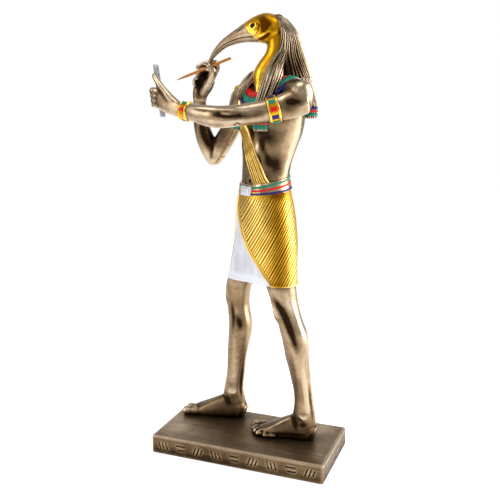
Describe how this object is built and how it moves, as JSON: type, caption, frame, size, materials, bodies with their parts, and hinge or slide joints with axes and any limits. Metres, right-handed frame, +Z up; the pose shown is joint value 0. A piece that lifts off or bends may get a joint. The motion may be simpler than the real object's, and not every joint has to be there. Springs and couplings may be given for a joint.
{
  "type": "thoth ibis figure",
  "caption": "Striding ibis-headed scribe figure in a pleated kilt, holding a reed pen and an upright palette, on an oblong plinth with softened edges.",
  "frame": {"origin": "middle of the plinth's underside", "axes": "+Z up; the figure faces -Y; +X towards the figure's left"},
  "size_m": [0.0761, 0.1279, 0.2998],
  "materials": {
    "bronze": "polished bronze-finish cast resin, dark brown patina in the hollows",
    "plinth_bronze": "satin bronze-finish cast resin, rubbed brighter along the edges",
    "gold": "gold paint with darker gold in the grooves",
    "silver": "brushed silver paint",
    "enamel_green": "gloss green enamel paint",
    "enamel_red": "gloss red enamel paint",
    "enamel_blue": "gloss dark blue enamel paint",
    "reed": "satin ochre gold paint",
    "palette_silver": "satin grey silver paint"
  },
  "bodies": {
    "root": {"figure": "bronze", "plinth": "plinth_bronze", "reed_pen": "reed", "palette": "palette_silver"}
  },
  "joints": []
}
